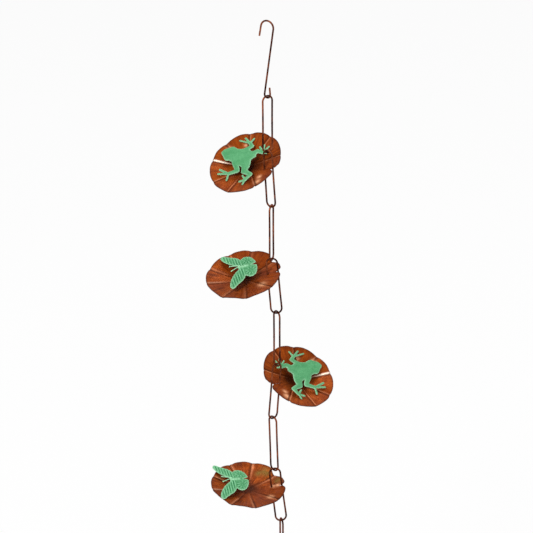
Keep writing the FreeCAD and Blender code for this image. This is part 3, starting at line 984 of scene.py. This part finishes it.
def make_butterfly(number, leaf):
    node = f"butterfly_{number}"
    place = butterfly_place(leaf)
    bm = cut_out(node, place)
    tree = edge_finder(bm)
    edge = bm.verts.layers.float.new("edge")
    crest = bm.verts.layers.float.new("crest")
    groove = bm.verts.layers.float.new("groove")
    for vert in bm.verts:
        x, y = vert.co.x, vert.co.y
        away = tree.find((x, y, 0))[2]
        on_wing = min(1.0, max(0.0, abs(y) - BODY_HALF) / 2)
        pattern = wing_pattern(x, y) * on_wing * min(1.0, max(0.0, away - 0.8) / WING_RIM)
        pattern *= 0.8 + 0.7 * noise.noise(Vector((x, y, number)) / UNEVEN)
        vert.co.z += RIB_HEIGHT * pattern
        # Near the cut edges the colour is painted pale, a painted highlight.
        vert[edge] = math.exp(-away / (1.5 * EDGE_HIGHLIGHT))
        vert[groove] = max(0.0, -pattern)
        # Crests of the pattern are rubbed pale; the head is painted pale, a painted highlight.
        vert[crest] = max(0.0, pattern) + (1.0 if x < HEAD and on_wing < 0.5 else 0.0)
    put_in_place(bm, place)
    print(node, "vertices:", len(bm.verts))
    return add_piece(bm, f"{node}_sheet", node)


butterflies = [make_butterfly(1, LEAVES[2]), make_butterfly(2, LEAVES[4])]

# %% [markdown]
# ## Feelers
#
# The feelers are one thin wire bent over the head, with a small bead of solder at each end. Three
# places give the whole shape, and the CAD piece knows them: its two outermost ends and the
# middle, where it crosses the head. The bead hides the cut end.

# %% Make the feelers
FEELER_R = 0.6
BEAD_R = 1.05
FEELER_REACH = 16.5
FEELER_CLOSER = 0.85
FEELER_DROP = 1.5


def make_feelers(number, leaf):
    node = f"butterfly_{number}_feelers"
    place = butterfly_place(leaf)
    to_mm = (place @ Matrix.Scale(MM, 4)).inverted()
    points = sorted((to_mm @ v.co for v in frame["nodes"][node].data.vertices), key=lambda p: p.y)
    count = len(points) // 8
    root = min(points, key=lambda p: abs(p.y) - p.x)
    bm = bmesh.new()
    for some in (points[:count], points[-count:]):
        end = sum(some, Vector()) / len(some)
        end = Vector((root.x - FEELER_REACH, end.y * FEELER_CLOSER, root.z - FEELER_DROP))
        line = end - root
        ring = wire_start(bm, FEELER_R, root, line.normalized())
        wire_straight(bm, ring, line, 6)
        bmesh.ops.create_icosphere(bm, subdivisions=3, radius=BEAD_R, matrix=Matrix.Translation(end))
    bmesh.ops.create_icosphere(bm, subdivisions=3, radius=FEELER_R, matrix=Matrix.Translation(root))
    edge = bm.verts.layers.float.new("edge")
    crest = bm.verts.layers.float.new("crest")
    bm.verts.layers.float.new("groove")
    # Both marks are set full, so the feelers take the pale colour of the painted highlight all along.
    for vert in bm.verts:
        vert[edge] = 1.0
        vert[crest] = 1.0
    bmesh.ops.recalc_face_normals(bm, faces=bm.faces)
    put_in_place(bm, place)
    print(node, "root:", [round(v, 1) for v in root], "end:", [round(v, 1) for v in end])
    return add_piece(bm, f"{node}_wire", node)


feelers = [make_feelers(1, LEAVES[2]), make_feelers(2, LEAVES[4])]

# %% [markdown]
# ## Backdrop and light
#
# The photo is a cut-out on white, lit softly from the upper left. A wide pale floor and a white
# sky stand for that. Both are white to the camera and in reflections, through Light Path, and
# stay at a plain level for lighting the piece.

# %% Floor and sky
FLOOR_Z = -1.25
FLOOR_SIZE = 40.0


def pale_floor():
    finish = Finish("pale_floor")
    seen = finish.make("ShaderNodeLightPath", None, None, "Is Camera Ray")
    shone = finish.make("ShaderNodeLightPath", None, None, "Is Glossy Ray")
    paint = finish.make("ShaderNodeBsdfDiffuse", None, {"Color": (0.8, 0.8, 0.8, 1)})
    white = finish.make("ShaderNodeEmission", None, {"Color": (1, 1, 1, 1), "Strength": 1.0})
    share = (seen + shone).clamped() * 0.9
    mixed = finish.make("ShaderNodeMixShader", None, {0: share, 1: paint, 2: white})
    return finish.surface(mixed)


floor_mesh = bpy.data.meshes.new("floor")
bm = bmesh.new()
bmesh.ops.create_grid(bm, x_segments=1, y_segments=1, size=FLOOR_SIZE / 2)
bmesh.ops.translate(bm, vec=(0, 0, FLOOR_Z), verts=bm.verts)
bm.to_mesh(floor_mesh)
bm.free()
floor = bpy.data.objects.new("floor", floor_mesh)
bpy.context.scene.collection.objects.link(floor)
floor.data.materials.append(pale_floor())

world = bpy.data.worlds.new("sky")
bpy.context.scene.world = world
world.use_nodes = True
sky = world.node_tree
sky.nodes.clear()
path = sky.nodes.new("ShaderNodeLightPath")
both = sky.nodes.new("ShaderNodeMath")
both.operation = "MAXIMUM"
sky.links.new(path.outputs["Is Camera Ray"], both.inputs[0])
sky.links.new(path.outputs["Is Glossy Ray"], both.inputs[1])
dim = sky.nodes.new("ShaderNodeBackground")
dim.inputs["Color"].default_value = (1, 1, 1, 1)
dim.inputs["Strength"].default_value = 0.45
white = sky.nodes.new("ShaderNodeBackground")
white.inputs["Color"].default_value = (1, 1, 1, 1)
white.inputs["Strength"].default_value = 1.0
blend = sky.nodes.new("ShaderNodeMixShader")
sky.links.new(both.outputs[0], blend.inputs[0])
sky.links.new(dim.outputs[0], blend.inputs[1])
sky.links.new(white.outputs[0], blend.inputs[2])
out = sky.nodes.new("ShaderNodeOutputWorld")
sky.links.new(blend.outputs[0], out.inputs["Surface"])


# %% Lamps
def softbox(name, place, size, power):
    """A square soft light that faces the middle of the chain."""
    data = bpy.data.lights.new(name, "AREA")
    data.shape = "SQUARE"
    data.size = size
    data.energy = power
    lamp = bpy.data.objects.new(name, data)
    bpy.context.scene.collection.objects.link(lamp)
    lamp.location = place
    lamp.rotation_euler = (AIM * MM - Vector(place)).to_track_quat("-Z", "Y").to_euler()
    return lamp


softbox("key", (-2.6, -4.2, 3.4), 1.6, 270.0)
softbox("fill", (3.8, -3.0, 0.4), 2.4, 50.0)
softbox("top", (0.6, 1.8, 4.6), 2.6, 150.0)

bpy.context.scene.view_settings.view_transform = "Standard"
